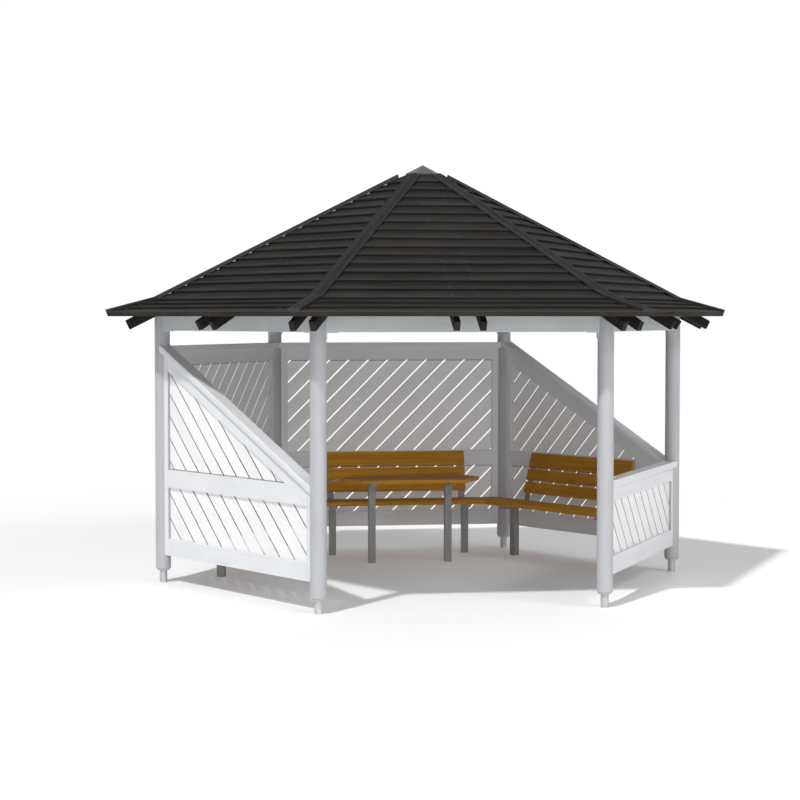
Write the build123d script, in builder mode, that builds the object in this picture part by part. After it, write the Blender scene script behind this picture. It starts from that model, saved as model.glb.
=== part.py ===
from build123d import *
import os
from math import atan, ceil, cos, radians, sin, sqrt, tan

# A six-sided garden gazebo: round posts on steel feet, a ring of beams, paired rafters under a
# bell-cast roof of lapped boards, five infill panels, three wall benches and a table.
# Millimetres, +Z up, origin on the ground at the centre of the hexagon. The open side faces -Y.

# ---------------------------------------------------------------- driving dimensions
side_length = 2100  # between neighbouring post centres, and from the centre to each post

post_diameter = 120
post_foot_height = 110  # underside of the posts above the ground
post_bottom_chamfer = 8
foot_tube_diameter = 60
foot_disc_diameter = 100  # of the disc that a post stands on
foot_disc_thickness = 8

beam_width = 60
beam_height = 160
beam_underside = 2010

bracket_width = 40
bracket_length = 50
bracket_drop = 45
bracket_thickness = 5

rafter_width = 45
rafter_depth = 75
birdsmouth_depth = 3  # how far the rafters are let down over the middle of the beams
post_cheek_depth = 4  # flat cut into each side of a post head for the hip rafters
rafter_clearance = 5  # between neighbouring rafters at the crown
mid_pair_gap = 145  # clear space between the two rafters of a pair over the middle of a side
roof_pitch = 30.3  # of a roof face, in degrees
eave_pitch = 17  # of the flatter boards at the eave
eave_reach = 383  # from the post line out to the top edge of the fascia
flare_width = 345  # of the flatter band at the eave, measured level
tail_reach = 290  # from the post line out to the rafter tails, along their tops

board_thickness = 16
board_exposure = 134  # aimed at, and evened out over the whole slope
exposure_spread = 0.07  # the boards show this share more at the top of the main slope and less at its foot
fascia_thickness = 20
fascia_height = 39
hip_cover_wing = 48  # level width of each wing of the cover boards along the hips
hip_cover_rise = 18  # of the covers above the lower edges of the boards
hip_cover_let_down = 10  # how far the covers are notched over those edges
hip_cover_start = 205  # from the centre to the upper ends of the covers

crown_wall = 45
crown_height = 140
apex_cap_radius = 140
apex_cap_rise = 8  # of the cap above the boards that it lies on
apex_cap_sheet = 4

frame_thickness = 45
stile_width = 55
cap_width = 100
cap_thickness = 50
high_cap_top = 1887
low_cap_top = 926
top_rail_depth = 107
mid_rail_top = 908
mid_rail_depth = 142
bottom_rail_top = 360
bottom_rail_depth = 137
lattice_board = 113
wide_lattice_board = 124.5
lattice_gap = 12
lattice_thickness = 6
lattice_angle = 45
right_back_first_gap = 5  # the lowest gap at the clockwise stile, above the bottom rail
back_first_gap = 32
left_back_first_gap = 30
left_front_first_gap = 158  # of the wide boards in the lower field
left_front_upper_gap = 84  # of the boards in the upper field
right_front_first_gap = 147

seat_top = 485
seat_thickness = 36
seat_board_width = 99
seat_board_gap = 9
seat_board_count = 3
seat_clearance = 2  # between the rear edge of a seat and the steel bars of the backrest
mitre_gap = 0.8

bench_leg_setback = 289  # of the legs from the post line
bench_frame_offset = 598  # of the two steel frames from the middle of a bench
frame_tube = 60
bearer_depth = 30
bearer_inset = 30
right_bench_shift = -17  # of the frames and the backrest from the middle of a side, anticlockwise
back_bench_shift = -33
left_bench_shift = 0
back_board_length = 1270
back_board_width = 101
top_back_board_width = 131
back_board_gap = 16
back_board_thickness = 25
back_board_count = 3
back_lean = 16  # of the backrest, in degrees
back_bottom_height = 550
back_bar_thickness = 10
back_bar_inset = 20  # of the bars below the top edge of the backrest
back_clearance = 2  # between the bars and the frame of the panel behind them

table_length = 1220
table_width = 573
table_height = 735
table_board_count = 5
table_board_gap = 6
table_board_thickness = 30
table_setback = 889  # of the table's middle from the post line of the back side
table_shift = 40  # of the table's middle to the right of the middle line
table_frame_spacing = 664
table_bearer_depth = 30
table_bearer_length = 420

# ---------------------------------------------------------------- derived geometry
corner_count = 6
sixth = 360 / corner_count
first_side = sixth / 2  # pieces of a side are made at this azimuth and turned from there
half_sixth = radians(first_side)
corner_names = ("right", "back_right", "back_left", "left", "front_left", "front_right")
side_names = ("right_back", "back", "left_back", "left_front", "front", "right_front")
corners = {name: sixth * place for place, name in enumerate(corner_names)}
sides = {name: first_side + sixth * place for place, name in enumerate(side_names)}

post_radius = post_diameter / 2
post_line = side_length * cos(half_sixth)  # from the centre to the middle of a side
clear_half = side_length / 2 - post_radius  # half the clear opening between two posts
beam_top = beam_underside + beam_height
hip_offset = post_radius - post_cheek_depth + rafter_width / 2
mid_offset = (mid_pair_gap + rafter_width) / 2
hip_pair_half = hip_offset + rafter_width / 2
mid_pair_half = mid_offset + rafter_width / 2
crown_apothem = (mid_pair_half + hip_pair_half / cos(half_sixth) + rafter_clearance) / tan(half_sixth)

rise = tan(radians(roof_pitch))
eave_rise = tan(radians(eave_pitch))
rafter_apex = beam_top - birdsmouth_depth + rafter_depth / cos(radians(roof_pitch)) + rise * post_line
board_stack = 2 * board_thickness  # above the rafters, at the lower edge of a lapped board
eave_line = post_line + eave_reach
flare_start = eave_line - flare_width
knee = (flare_start, rafter_apex - rise * flare_start)  # where the roof bends, on the rafter tops
post_top = rafter_apex - rise * (post_line + post_radius)

main_length = flare_start / cos(radians(roof_pitch))
eave_length = (flare_width - board_stack * sin(radians(eave_pitch))) / cos(radians(eave_pitch))
flare_length = eave_length - fascia_thickness
main_boards = round(main_length / board_exposure)
flare_boards = ceil(flare_length / board_exposure)
roof_base = beam_underside  # below every piece of the roof
reach = 2 * eave_line  # longer than any piece, for bodies that are cut to size


def section_plane(azimuth, offset=0):
    """Upright plane along an azimuth: x is the distance from the centre, y the height."""
    a = radians(azimuth)
    clockwise = (sin(a), -cos(a), 0)
    return Plane((-offset * sin(a), offset * cos(a), 0), x_dir=(cos(a), sin(a), 0), z_dir=clockwise)


def side_plane(azimuth, distance):
    """Upright plane across an azimuth: x runs anticlockwise along the side, y is the height."""
    a = radians(azimuth)
    outwards = (cos(a), sin(a), 0)
    return Plane((distance * cos(a), distance * sin(a), 0), x_dir=(-sin(a), cos(a), 0), z_dir=outwards)


def level_plane(azimuth, height):
    """Level plane turned to an azimuth: x is the distance outwards, y runs along the side."""
    a = radians(azimuth)
    return Plane((0, 0, height), x_dir=(cos(a), sin(a), 0), z_dir=(0, 0, 1))


def on_slope(start, pitch, along, above):
    """Point of a roof section: along the slope from a start point, and square above it."""
    p = radians(pitch)
    return (start[0] + along * cos(p) + above * sin(p), start[1] - along * sin(p) + above * cos(p))


def over_knee(above):
    """Point where the two slopes meet, square above the rafter tops by the same amount on both."""
    middle, half_bend = radians((roof_pitch + eave_pitch) / 2), radians((roof_pitch - eave_pitch) / 2)
    return (knee[0] + above * sin(middle) / cos(half_bend), knee[1] + above * cos(middle) / cos(half_bend))


def pyramid(pitch, apex, base):
    """Six-sided pyramid with its edges on the hips, from a base height up to its apex."""
    with BuildPart() as piece:
        with BuildSketch(Plane.XY.offset(base)) as outline:
            RegularPolygon((apex - base) / tan(radians(pitch)), corner_count, major_radius=False)
        loft([outline.sketch.face(), Vertex(0, 0, apex)])
    return piece.part


def to_hip(distance, gap=0):
    """Half length of a piece that runs along a side and ends half a gap short of the hips."""
    return (distance * sin(half_sixth) - gap / 2) / cos(half_sixth)


def wedge(from_distance, to_distance, gap=0):
    """Sixth of the plan round the first side, between two distances, half a gap short of the hips."""
    near_half, far_half = to_hip(from_distance, gap), to_hip(to_distance, gap)
    with BuildPart() as piece:
        with BuildSketch(level_plane(first_side, roof_base)):
            Polygon(
                (from_distance, -near_half),
                (to_distance, -far_half),
                (to_distance, far_half),
                (from_distance, near_half),
                align=None,
            )
        extrude(amount=reach)
    return piece.part


def prism(apothem, bottom, top):
    """Six-sided prism with its edges on the hips."""
    with BuildPart() as piece:
        with BuildSketch(Plane.XY.offset(bottom)):
            RegularPolygon(apothem, corner_count, major_radius=False)
        extrude(amount=top - bottom)
    return piece.part


def turned(part, angle):
    return part.rotate(Axis.Z, angle)


def along_side(part, azimuth, shift):
    """Turned to a side, and moved anticlockwise along it."""
    a = radians(azimuth)
    return turned(part, azimuth - first_side).translate((-shift * sin(a), shift * cos(a), 0))


def finish(part, name):
    part.label = name
    export_step(part, f"parts/{name}.step")


os.makedirs("parts", exist_ok=True)

# ---------------------------------------------------------------- bodies that pieces are cut to
under_main_slope = pyramid(roof_pitch, rafter_apex, roof_base)
under_eave_slope = pyramid(eave_pitch, knee[1] + eave_rise * flare_start, roof_base)

with BuildPart() as beam_ring:
    with BuildSketch(Plane.XY.offset(beam_underside)):
        RegularPolygon(post_line + beam_width / 2, corner_count, major_radius=False)
        RegularPolygon(post_line - beam_width / 2, corner_count, major_radius=False, mode=Mode.SUBTRACT)
    extrude(amount=beam_height)

with BuildPart() as post_ring:
    with BuildSketch(Plane.XY.offset(post_foot_height)):
        with PolarLocations(side_length, corner_count):
            Circle(post_radius)
    extrude(amount=post_top - post_foot_height)


# ---------------------------------------------------------------- rafters and sprockets
def rafter_pair(azimuth, offset, spread):
    """Two straight rafters beside an azimuth: plumb at the crown ring, square at their tails.

    spread is the turn from the azimuth to the middle of the roof face over each of them.
    """
    run = cos(radians(spread))
    sideways = offset * sin(radians(spread))
    slope = atan(rise * run)
    tail = (post_line + tail_reach - sideways) / run
    spare = rafter_width * rise  # above the tops, which are planed to the roof faces

    def top(x):
        return rafter_apex - rise * (sideways + run * x)

    with BuildPart() as pair:
        with BuildSketch(section_plane(azimuth, offset), section_plane(azimuth, -offset)):
            Polygon(
                (crown_apothem, top(crown_apothem) + spare / cos(slope)),
                (tail + spare * sin(slope), top(tail) + spare * cos(slope)),
                (tail - rafter_depth * sin(slope), top(tail) - rafter_depth * cos(slope)),
                (crown_apothem, top(crown_apothem) - rafter_depth / cos(slope)),
                align=None,
            )
        extrude(amount=rafter_width / 2, both=True)
        add(under_main_slope, mode=Mode.INTERSECT)
        add(beam_ring.part, mode=Mode.SUBTRACT)
    return pair.part


def sprocket_pair(azimuth, offset):
    """Two wedges on the rafter tails, which lift the eave boards to their flatter slope."""
    with BuildPart() as pair:
        with BuildSketch(level_plane(azimuth, fascia_foot[1])):
            with Locations((flare_start + eave_reach, offset), (flare_start + eave_reach, -offset)):
                Rectangle(2 * eave_reach, rafter_width)
        extrude(amount=rafter_apex - fascia_foot[1])
        add(under_eave_slope, mode=Mode.INTERSECT)
        add(prism(fascia_foot[0], roof_base, rafter_apex), mode=Mode.INTERSECT)
        add(under_main_slope, mode=Mode.SUBTRACT)
    return pair.part


fascia_foot = on_slope(knee, eave_pitch, flare_length, board_stack - fascia_height)
hip_pair = rafter_pair(0, hip_offset, first_side)
mid_pair = rafter_pair(first_side, mid_offset, 0)
hip_sprockets = sprocket_pair(0, hip_offset)
mid_sprockets = sprocket_pair(first_side, mid_offset)

with BuildPart() as hip_rafters:
    with PolarLocations(0, corner_count):
        add(hip_pair)
finish(hip_rafters.part, "hip_rafters")

with BuildPart() as mid_rafters:
    with PolarLocations(0, corner_count):
        add(mid_pair)
finish(mid_rafters.part, "mid_rafters")

with BuildPart() as eave_sprockets:
    with PolarLocations(0, corner_count):
        add(hip_sprockets)
        add(mid_sprockets)
finish(eave_sprockets.part, "eave_sprockets")

with BuildPart() as crown_ring:
    with BuildSketch(Plane.XY.offset(rafter_apex - rise * crown_apothem)):
        for apothem, mode in ((crown_apothem, Mode.ADD), (crown_apothem - crown_wall, Mode.SUBTRACT)):
            RegularPolygon(apothem, 2 * corner_count, major_radius=False, rotation=first_side / 2, mode=mode)
    extrude(amount=-crown_height)
finish(crown_ring.part, "crown_ring")

# ---------------------------------------------------------------- posts, feet, beams and brackets
with BuildPart() as post:
    with BuildSketch(level_plane(0, post_foot_height)):
        with Locations((side_length, 0)):
            Circle(post_radius)
    extrude(amount=post_top - post_foot_height)
    chamfer(post.edges().group_by(Axis.Z)[0], post_bottom_chamfer)
    add(hip_pair, mode=Mode.SUBTRACT)
for corner, azimuth in corners.items():
    finish(turned(post.part, azimuth), f"post_{corner}")

with BuildPart() as post_feet:
    tube = (foot_tube_diameter, post_foot_height)
    disc = (foot_disc_diameter, foot_disc_thickness)
    for diameter, height in (tube, disc):
        with BuildSketch(Plane.XY.offset(post_foot_height)):
            with PolarLocations(side_length, corner_count):
                Circle(diameter / 2)
        extrude(amount=-height)
finish(post_feet.part, "post_feet")

with BuildPart() as beam:
    with BuildSketch(side_plane(first_side, post_line)):
        with Locations((0, beam_underside + beam_height / 2)):
            Rectangle(side_length, beam_height)
    extrude(amount=beam_width / 2, both=True)
    add(post_ring.part, mode=Mode.SUBTRACT)
for side, azimuth in sides.items():
    finish(turned(beam.part, azimuth - first_side), f"ring_beam_{side}")

with BuildPart() as bracket_pair:
    with BuildSketch(side_plane(first_side, post_line)):
        for hand in (-1, 1):
            with Locations((hand * (clear_half - bracket_length / 2), beam_underside)):
                Rectangle(bracket_length + post_radius, bracket_thickness, align=(Align.CENTER, Align.MAX))
            with Locations((hand * clear_half, beam_underside)):
                Rectangle(2 * bracket_thickness, bracket_drop, align=(Align.CENTER, Align.MAX))
    extrude(amount=bracket_width / 2, both=True)
    add(post_ring.part, mode=Mode.SUBTRACT)
with BuildPart() as beam_brackets:
    with PolarLocations(0, corner_count):
        add(bracket_pair.part)
finish(beam_brackets.part, "beam_brackets")


# ---------------------------------------------------------------- roof
def lower_edge(board, count, length, spread):
    """How far down a slope a lapped board ends."""
    share = board / count
    return length * share * (1 + spread * (1 - share))


def lapped_profile():
    """Section of one roof face: flat on the rafters below, stepped by the lapped boards above.

    Under the apex cap the first board lies flat.
    """
    points = [(0, rafter_apex), (0, rafter_apex + board_thickness / cos(radians(roof_pitch)))]
    first = lower_edge(1, main_boards, main_length, exposure_spread)
    points.append(on_slope((0, rafter_apex), roof_pitch, first, board_thickness))
    for board in range(2, main_boards + 1):
        down = lower_edge(board, main_boards, main_length, exposure_spread)
        points.append(on_slope((0, rafter_apex), roof_pitch, down, board_stack))
        points.append(on_slope((0, rafter_apex), roof_pitch, down, board_thickness))
    for board in range(1, flare_boards):
        down = lower_edge(board, flare_boards, flare_length, 0)
        points.append(on_slope(knee, eave_pitch, down, board_stack))
        points.append(on_slope(knee, eave_pitch, down, board_thickness))
    points.append(on_slope(knee, eave_pitch, flare_length, board_stack))
    points.append(on_slope(knee, eave_pitch, flare_length, 0))
    points.append(knee)
    return points


with BuildPart() as roof_face:
    with BuildSketch(section_plane(first_side)):
        Polygon(*lapped_profile(), align=None)
    extrude(amount=reach, both=True)
    add(wedge(0, reach), mode=Mode.INTERSECT)
for side, azimuth in sides.items():
    finish(turned(roof_face.part, azimuth - first_side), f"roof_{side}")

with BuildPart() as fascia_board:
    with BuildSketch(section_plane(first_side)):
        Polygon(
            fascia_foot,
            on_slope(knee, eave_pitch, eave_length, board_stack - fascia_height),
            on_slope(knee, eave_pitch, eave_length, board_stack),
            on_slope(knee, eave_pitch, flare_length, board_stack),
            align=None,
        )
    extrude(amount=reach, both=True)
    add(wedge(flare_start, reach, mitre_gap), mode=Mode.INTERSECT)
with BuildPart() as eave_fascia:
    with PolarLocations(0, corner_count):
        add(fascia_board.part)
finish(eave_fascia.part, "eave_fascia")


def cover_wing(hand):
    """One wing of the cover along the hip at azimuth 0, notched over the roof face beside it."""
    lower, upper = board_stack - hip_cover_let_down, board_stack + hip_cover_rise
    face = turned(roof_face.part, hand * first_side - first_side)
    with BuildPart() as wing:
        with BuildSketch(section_plane(hand * first_side)):
            Polygon(
                on_slope((0, rafter_apex), roof_pitch, 0, lower),
                over_knee(lower),
                on_slope(knee, eave_pitch, eave_length, lower),
                on_slope(knee, eave_pitch, eave_length, upper),
                over_knee(upper),
                on_slope((0, rafter_apex), roof_pitch, 0, upper),
                align=None,
            )
        extrude(amount=reach, both=True)
        with BuildSketch(Plane.XY.offset(roof_base)):
            with Locations((hip_cover_start, hand * hip_cover_wing / 2)):
                Rectangle(reach, hip_cover_wing, align=(Align.MIN, Align.CENTER))
        extrude(amount=reach, mode=Mode.INTERSECT)
        add(face, mode=Mode.SUBTRACT)
        add(eave_fascia.part, mode=Mode.SUBTRACT)
    return wing.part


with BuildPart() as hip_cover:
    add(cover_wing(1))
    add(cover_wing(-1))
with BuildPart() as hip_covers:
    with PolarLocations(0, corner_count):
        add(hip_cover.part)
finish(hip_covers.part, "hip_covers")


def cap_body(apothem, above):
    """Six-sided body under a pyramid that lies square above the rafter tops."""
    apex = rafter_apex + above / cos(radians(roof_pitch))
    with BuildPart() as piece:
        add(prism(apothem, knee[1], apex))
        add(pyramid(roof_pitch, apex, roof_base), mode=Mode.INTERSECT)
    return piece.part


cap_apothem = apex_cap_radius * cos(half_sixth)
cap_above = board_thickness + apex_cap_rise
with BuildPart() as apex_cap:
    add(cap_body(cap_apothem, cap_above))
    add(cap_body(cap_apothem - apex_cap_sheet, cap_above - apex_cap_sheet), mode=Mode.SUBTRACT)
    add(cap_body(crown_apothem, board_thickness), mode=Mode.SUBTRACT)
finish(apex_cap.part, "apex_cap")


# ---------------------------------------------------------------- infill panels and their cap rails
def edge_height(x, low_end, high_end, depth):
    """Height at x of a line that lies depth below, and parallel to, the top of a cap rail."""
    slope = (high_end - low_end) / (2 * clear_half)
    return low_end + slope * (x + clear_half) - depth * sqrt(1 + slope**2)


def under_line(low_end, high_end, depth):
    """Outline of all that lies under such a line."""
    return Polygon(
        (-reach, 0),
        (reach, 0),
        (reach, edge_height(reach, low_end, high_end, depth)),
        (-reach, edge_height(-reach, low_end, high_end, depth)),
        align=None,
        mode=Mode.INTERSECT,
    )


def diagonal_boards(board_width, first_gap):
    """Outline of the boards of a field: they fall anticlockwise, with narrow gaps between them.

    first_gap is the height of the lowest gap at the clockwise stile, above the bottom rail.
    """
    angle = radians(lattice_angle)
    pitch = (board_width + lattice_gap) / cos(angle)
    count = ceil((high_cap_top - bottom_rail_top + 2 * clear_half * tan(angle)) / pitch) + 1
    with BuildSketch() as boards:
        for board in range(count):
            middle = bottom_rail_top + first_gap + (board - 1 / 2) * pitch
            with Locations((stile_width - clear_half, middle)):
                Rectangle(2 * reach, board_width, rotation=-lattice_angle)
    return boards.sketch


def infill_panel(low_end, high_end, *boards):
    """Framed panel with its cap rail heights at its two ends, and the boards of each field."""
    field_width = 2 * (clear_half - stile_width)
    bottom = bottom_rail_top - bottom_rail_depth
    top = max(low_end, high_end)
    mid_rail_bottom = mid_rail_top - mid_rail_depth
    fields = list(zip((bottom_rail_top, mid_rail_top), (mid_rail_bottom, top), boards))
    with BuildPart() as panel:
        with BuildSketch(side_plane(first_side, post_line)):
            with Locations((0, bottom)):
                Rectangle(side_length, top - bottom, align=(Align.CENTER, Align.MIN))
            under_line(low_end, high_end, cap_thickness)
        extrude(amount=frame_thickness / 2, both=True)
        with BuildSketch(side_plane(first_side, post_line)):
            for foot, head, _ in fields:
                with Locations((0, foot)):
                    Rectangle(field_width, head - foot, align=(Align.CENTER, Align.MIN))
            under_line(low_end, high_end, cap_thickness + top_rail_depth)
        extrude(amount=frame_thickness / 2, both=True, mode=Mode.SUBTRACT)
        for foot, head, field_boards in fields:
            with BuildSketch(side_plane(first_side, post_line)):
                with Locations((0, foot)):
                    Rectangle(field_width, head - foot, align=(Align.CENTER, Align.MIN))
                under_line(low_end, high_end, cap_thickness + top_rail_depth)
                add(diagonal_boards(*field_boards), mode=Mode.INTERSECT)
            extrude(amount=lattice_thickness / 2, both=True)
        add(post_ring.part, mode=Mode.SUBTRACT)
    return panel.part


def cap_rail(low_end, high_end):
    """Wide rail on top of a panel, scribed to the posts."""
    with BuildPart() as rail:
        with BuildSketch(side_plane(first_side, post_line)):
            Polygon(
                *[
                    (end, edge_height(end, low_end, high_end, depth))
                    for end, depth in (
                        (-side_length / 2, 0),
                        (side_length / 2, 0),
                        (side_length / 2, cap_thickness),
                        (-side_length / 2, cap_thickness),
                    )
                ],
                align=None,
            )
        extrude(amount=cap_width / 2, both=True)
        add(post_ring.part, mode=Mode.SUBTRACT)
    return rail.part


# Cap heights at the clockwise and the anticlockwise end of each closed side.
cap_ends = {
    "right_back": (low_cap_top, high_cap_top),
    "back": (high_cap_top, high_cap_top),
    "left_back": (high_cap_top, high_cap_top),
    "left_front": (high_cap_top, low_cap_top),
    "right_front": (low_cap_top, low_cap_top),
}
# Board width and height of the first gap in the lower field of each, then in the upper one.
panel_boards = {
    "right_back": 2 * ((lattice_board, right_back_first_gap),),
    "back": 2 * ((lattice_board, back_first_gap),),
    "left_back": 2 * ((lattice_board, left_back_first_gap),),
    "left_front": ((wide_lattice_board, left_front_first_gap), (lattice_board, left_front_upper_gap)),
    "right_front": ((wide_lattice_board, right_front_first_gap),),
}
for side, ends in cap_ends.items():
    finish(turned(infill_panel(*ends, *panel_boards[side]), sides[side] - first_side), f"panel_{side}")
side_caps = [turned(cap_rail(*ends), sides[side] - first_side) for side, ends in cap_ends.items()]
with BuildPart() as cap_rails:
    add(side_caps)
finish(cap_rails.part, "cap_rails")


# ---------------------------------------------------------------- benches
# A backrest stands close to the panel behind it, and a seat close to the bars of its backrest.
lean = radians(back_lean)
back_height = (back_board_count - 1) * (back_board_width + back_board_gap) + top_back_board_width
bar_top = back_height - back_bar_inset
bar_back = back_board_thickness + back_bar_thickness
bar_limit = post_line - frame_thickness / 2 - back_clearance
back_bottom_distance = bar_limit - bar_top * sin(lean) - bar_back * cos(lean)


def on_back(height, behind):
    """Point of the backrest's section: up along its front face, and square behind it."""
    return (
        back_bottom_distance + height * sin(lean) + behind * cos(lean),
        back_bottom_height + height * cos(lean) - behind * sin(lean),
    )


def behind_back(level, behind):
    """Point of the same section at a level below the boards."""
    distance = back_bottom_distance + (level - back_bottom_height) * tan(lean) + behind / cos(lean)
    return (distance, level)


seat_underside = seat_top - seat_thickness
bearer_underside = seat_underside - bearer_depth
bench_leg_distance = post_line - bench_leg_setback
seat_rear = behind_back(seat_underside, back_board_thickness)[0] - seat_clearance
seat_front = seat_rear - seat_board_count * (seat_board_width + seat_board_gap) + seat_board_gap


with BuildPart() as seat:
    with BuildSketch(level_plane(first_side, seat_top)):
        for board in range(seat_board_count):
            inner = seat_front + board * (seat_board_width + seat_board_gap)
            outer = inner + seat_board_width
            inner_half, outer_half = to_hip(inner, mitre_gap), to_hip(outer, mitre_gap)
            Polygon(
                (inner, -inner_half),
                (outer, -outer_half),
                (outer, outer_half),
                (inner, inner_half),
                align=None,
            )
    extrude(amount=-seat_thickness)

with BuildPart() as backrest:
    with BuildSketch(section_plane(first_side)):
        for board in range(back_board_count):
            width = top_back_board_width if board == back_board_count - 1 else back_board_width
            middle = board * (back_board_width + back_board_gap) + width / 2
            with Locations(on_back(middle, back_board_thickness / 2)):
                Rectangle(back_board_thickness, width, rotation=-back_lean)
    extrude(amount=back_board_length / 2, both=True)

with BuildPart() as bench_frame:
    frame_sections = [section_plane(first_side, hand * bench_frame_offset) for hand in (-1, 1)]
    with BuildSketch(*frame_sections):
        with Locations((bench_leg_distance, 0)):
            Rectangle(frame_tube, seat_underside, align=(Align.CENTER, Align.MIN))
        Polygon(
            (seat_front + bearer_inset, seat_underside),
            (seat_front + bearer_inset, bearer_underside),
            behind_back(bearer_underside, bar_back),
            behind_back(seat_underside, bar_back),
            align=None,
        )
        Polygon(
            behind_back(bearer_underside, back_board_thickness),
            behind_back(bearer_underside, bar_back),
            on_back(bar_top, bar_back),
            on_back(bar_top, back_board_thickness),
            align=None,
        )
    extrude(amount=frame_tube / 2, both=True)

# Side of each bench, and how far its frames and backrest stand from the middle of that side.
benches = {
    "right": ("right_back", right_bench_shift),
    "back": ("back", back_bench_shift),
    "left": ("left_back", left_bench_shift),
}
for bench, (side, shift) in benches.items():
    finish(along_side(seat.part, sides[side], 0), f"bench_seat_{bench}")
    finish(along_side(backrest.part, sides[side], shift), f"bench_back_{bench}")
    finish(along_side(bench_frame.part, sides[side], shift), f"bench_frames_{bench}")

# ---------------------------------------------------------------- table
table_centre = (table_shift, post_line - table_setback)
with BuildPart() as table_top:
    with BuildSketch(Plane.XY.offset(table_height)):
        point_length = table_width / 2 / tan(radians(sixth))
        straight_half = table_length / 2 - point_length
        with Locations(table_centre):
            Polygon(
                (table_length / 2, 0),
                (straight_half, table_width / 2),
                (-straight_half, table_width / 2),
                (-table_length / 2, 0),
                (-straight_half, -table_width / 2),
                (straight_half, -table_width / 2),
                align=None,
            )
            with GridLocations(1, table_width / table_board_count, 1, table_board_count + 1):
                Rectangle(table_length, table_board_gap, mode=Mode.SUBTRACT)
    extrude(amount=-table_board_thickness)
finish(table_top.part, "table_top")

with BuildPart() as table_frames:
    with BuildSketch(Plane.XY):
        with Locations(table_centre):
            with GridLocations(table_frame_spacing, 1, 2, 1):
                Rectangle(frame_tube, frame_tube)
    extrude(amount=table_height - table_board_thickness)
    with BuildSketch(Plane.XY.offset(table_height - table_board_thickness)):
        with Locations(table_centre):
            with GridLocations(table_frame_spacing, 1, 2, 1):
                Rectangle(frame_tube, table_bearer_length)
    extrude(amount=-table_bearer_depth)
finish(table_frames.part, "table_frames")
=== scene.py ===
# %% [markdown]
# # A six-sided garden gazebo
# The model is loaded first. Every post, beam and board of it already stands where it belongs, in
# metres, so each piece below is shaped around it and takes its place from it. The finished look
# may not grow out of it.

# %% Load the model
import math
import random

import bpy
import numpy as np
from mathutils import Matrix, Vector


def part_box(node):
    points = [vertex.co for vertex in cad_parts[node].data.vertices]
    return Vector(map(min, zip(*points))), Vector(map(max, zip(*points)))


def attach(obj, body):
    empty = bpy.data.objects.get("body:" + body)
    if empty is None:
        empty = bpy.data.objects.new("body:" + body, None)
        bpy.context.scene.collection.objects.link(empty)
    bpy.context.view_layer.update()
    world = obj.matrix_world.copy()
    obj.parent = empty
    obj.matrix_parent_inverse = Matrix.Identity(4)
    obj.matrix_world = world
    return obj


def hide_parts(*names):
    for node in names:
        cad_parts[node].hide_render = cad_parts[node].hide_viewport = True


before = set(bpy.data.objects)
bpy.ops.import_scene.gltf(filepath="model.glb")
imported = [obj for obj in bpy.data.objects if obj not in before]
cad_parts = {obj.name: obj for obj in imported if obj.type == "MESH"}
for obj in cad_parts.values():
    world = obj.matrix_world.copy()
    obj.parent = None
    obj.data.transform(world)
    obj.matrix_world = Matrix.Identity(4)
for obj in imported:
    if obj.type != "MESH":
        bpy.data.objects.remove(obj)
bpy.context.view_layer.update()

# %% [markdown]
# ## The camera
# The gazebo is seen from just above head height, from a little to the left of its open side. A
# long lens far away keeps the posts parallel, as a catalogue view does.

# %% Camera
LENS, SENSOR = 85.6, 36  # millimetres
DOWN, ASIDE = 2.52, 8.59  # degrees that the view points below level and to the right
camera_data = bpy.data.cameras.new("camera")
camera_data.lens = LENS
camera_data.sensor_width = SENSOR
camera = bpy.data.objects.new("camera", camera_data)
camera.location = (-2.4912, -15.2548, 2.1233)
camera.rotation_euler = (math.radians(90 - DOWN), 0, math.radians(-ASIDE))
bpy.context.scene.collection.objects.link(camera)
bpy.context.scene.camera = camera
print("camera", round(camera.location.length, 2), "m away")

# %% [markdown]
# ## Working by hand in code
# A joiner marks out, saws, planes the edges and screws together, and the helpers below do the
# same with Blender's own operators. An operator works on all that is selected, so every helper
# first selects just the piece that it means.

# %% Select, block out and saw
def only(*pieces):
    """Selects just these pieces, and makes the first of them the active one."""
    bpy.ops.object.select_all(action="DESELECT")
    for piece in pieces:
        piece.select_set(True)
    bpy.context.view_layer.objects.active = pieces[0]


def block(name, size, place, turn=(0, 0, 0)):
    """A rough block, with the place of its middle and its turn."""
    bpy.ops.object.select_all(action="DESELECT")
    bpy.ops.mesh.primitive_cube_add(size=1, location=place, rotation=turn, scale=size)
    bpy.ops.object.transform_apply(location=True, rotation=True, scale=True)
    piece = bpy.context.active_object
    piece.name = name
    return piece


def cut(piece, point, normal, **choices):
    """Cuts the faces of a piece along a plane."""
    only(piece)
    bpy.ops.object.mode_set(mode="EDIT")
    bpy.ops.mesh.select_all(action="SELECT")
    bpy.ops.mesh.bisect(plane_co=point, plane_no=normal, **choices)
    bpy.ops.object.mode_set(mode="OBJECT")


def saw(piece, point, normal):
    """Cuts a piece along a plane, closes the cut, and drops what the normal points to."""
    cut(piece, point, normal, use_fill=True, clear_outer=True)


# %% Plane and join
EDGE_TURN = math.radians(35)  # edges that turn by more than this are planed


def modify(piece, kind, **settings):
    """Adds a modifier and applies it at once."""
    only(piece)
    modifier = piece.modifiers.new("work", kind)
    for setting, value in settings.items():
        setattr(modifier, setting, value)
    bpy.ops.object.modifier_apply(modifier=modifier.name)


def ease(piece, width, segments=2):
    """Planes the sharp edges off a piece."""
    modify(
        piece, "BEVEL", width=width, segments=segments, limit_method="ANGLE",
        angle_limit=EDGE_TURN,
    )


def join(name, pieces):
    """Makes one object of several pieces."""
    only(*pieces)
    bpy.ops.object.join()
    whole = bpy.context.active_object
    whole.name = name
    return whole
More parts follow.
